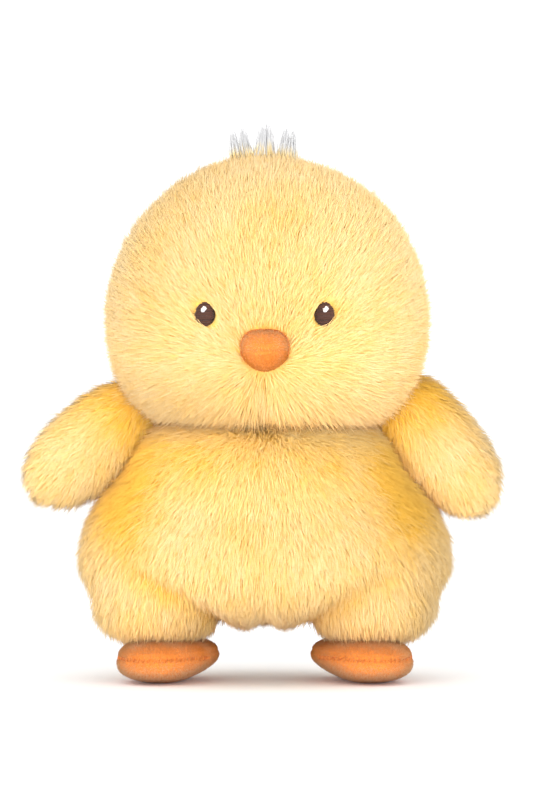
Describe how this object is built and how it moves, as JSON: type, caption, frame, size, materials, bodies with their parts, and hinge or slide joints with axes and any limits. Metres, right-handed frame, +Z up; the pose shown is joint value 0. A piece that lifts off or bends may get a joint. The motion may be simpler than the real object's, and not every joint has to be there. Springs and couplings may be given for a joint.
{
  "type": "plush chick toy",
  "caption": "Standing stuffed chick with a round head, short beak, embroidered eyes, soft wings and flat-soled feet, covered in long pile.",
  "frame": {"origin": "on the floor, at the bottom centre of the bounding box, under the middle of the toy", "axes": "+Z up, -Y the way the face looks, +X to the right of someone who faces the toy"},
  "size_m": [0.2104, 0.147, 0.252],
  "materials": {
    "yellow_plush": "long soft pile, straw yellow at the tips and golden at the roots",
    "tuft_pile": "longer straight pile, yellow at the foot and pale grey at the tips",
    "orange_velour": "short dense velour, soft orange",
    "eye_thread": "dark brown satin stitch, slightly glossy",
    "glint_thread": "white stitches",
    "fibre_filling": "white polyester fibre",
    "pouch_cloth": "undyed woven lining cloth",
    "pellets": "loose plastic pellets, natural white",
    "label_ribbon": "white woven ribbon, blank"
  },
  "bodies": {
    "body": {"body_front_panel_left": "yellow_plush", "body_front_panel_right": "yellow_plush", "body_back_panel_left": "yellow_plush", "body_back_panel_right": "yellow_plush", "body_filling": "fibre_filling", "bead_pouch": "pouch_cloth", "pellet_fill": "pellets", "care_label": "label_ribbon", "leg_panel_left": "yellow_plush", "leg_panel_right": "yellow_plush", "leg_filling_left": "fibre_filling", "leg_filling_right": "fibre_filling"},
    "neck": {"neck_filling": "fibre_filling"},
    "head": {"face_panel_left": "yellow_plush", "face_panel_right": "yellow_plush", "head_back_panel_left": "yellow_plush", "head_back_panel_right": "yellow_plush", "head_filling": "fibre_filling", "crown_tuft": "tuft_pile", "beak_upper": "orange_velour", "beak_lower": "orange_velour", "beak_filling": "fibre_filling", "eye_left": "eye_thread", "eye_right": "eye_thread", "eye_glint_left": "glint_thread", "eye_glint_right": "glint_thread"},
    "wing_left": {"wing_front_panel_left": "yellow_plush", "wing_back_panel_left": "yellow_plush", "wing_filling_left": "fibre_filling"},
    "foot_left": {"foot_upper_left": "orange_velour", "foot_sole_left": "orange_velour", "foot_filling_left": "fibre_filling"},
    "wing_right": {"wing_front_panel_right": "yellow_plush", "wing_back_panel_right": "yellow_plush", "wing_filling_right": "fibre_filling"},
    "foot_right": {"foot_upper_right": "orange_velour", "foot_sole_right": "orange_velour", "foot_filling_right": "fibre_filling"}
  },
  "joints": [
    {"name": "neck_turn", "type": "hinge", "parent": "body", "child": "neck", "pos_m": [0, -0.003, 0.118], "axis": [0, 0, 1], "range_deg": [-20, 20], "stiffness_Nm_per_rad": 0.2},
    {"name": "head_nod", "type": "hinge", "parent": "neck", "child": "head", "pos_m": [0, -0.003, 0.118], "axis": [1, 0, 0], "range_deg": [-8, 10], "stiffness_Nm_per_rad": 0.8},
    {"name": "wing_raise_left", "type": "hinge", "parent": "body", "child": "wing_left", "pos_m": [-0.0525, 0.002, 0.114], "axis": [0, 1, 0], "range_deg": [0, 45], "stiffness_Nm_per_rad": 0.03},
    {"name": "wing_raise_right", "type": "hinge", "parent": "body", "child": "wing_right", "pos_m": [0.0525, 0.002, 0.114], "axis": [0, -1, 0], "range_deg": [0, 45], "stiffness_Nm_per_rad": 0.03},
    {"name": "foot_flex_left", "type": "hinge", "parent": "body", "child": "foot_left", "pos_m": [-0.045, -0.005, 0.019], "axis": [0.9703, -0.2419, 0], "range_deg": [-8, 8], "stiffness_Nm_per_rad": 3},
    {"name": "foot_flex_right", "type": "hinge", "parent": "body", "child": "foot_right", "pos_m": [0.045, -0.005, 0.019], "axis": [0.9703, 0.2419, 0], "range_deg": [-8, 8], "stiffness_Nm_per_rad": 3}
  ]
}
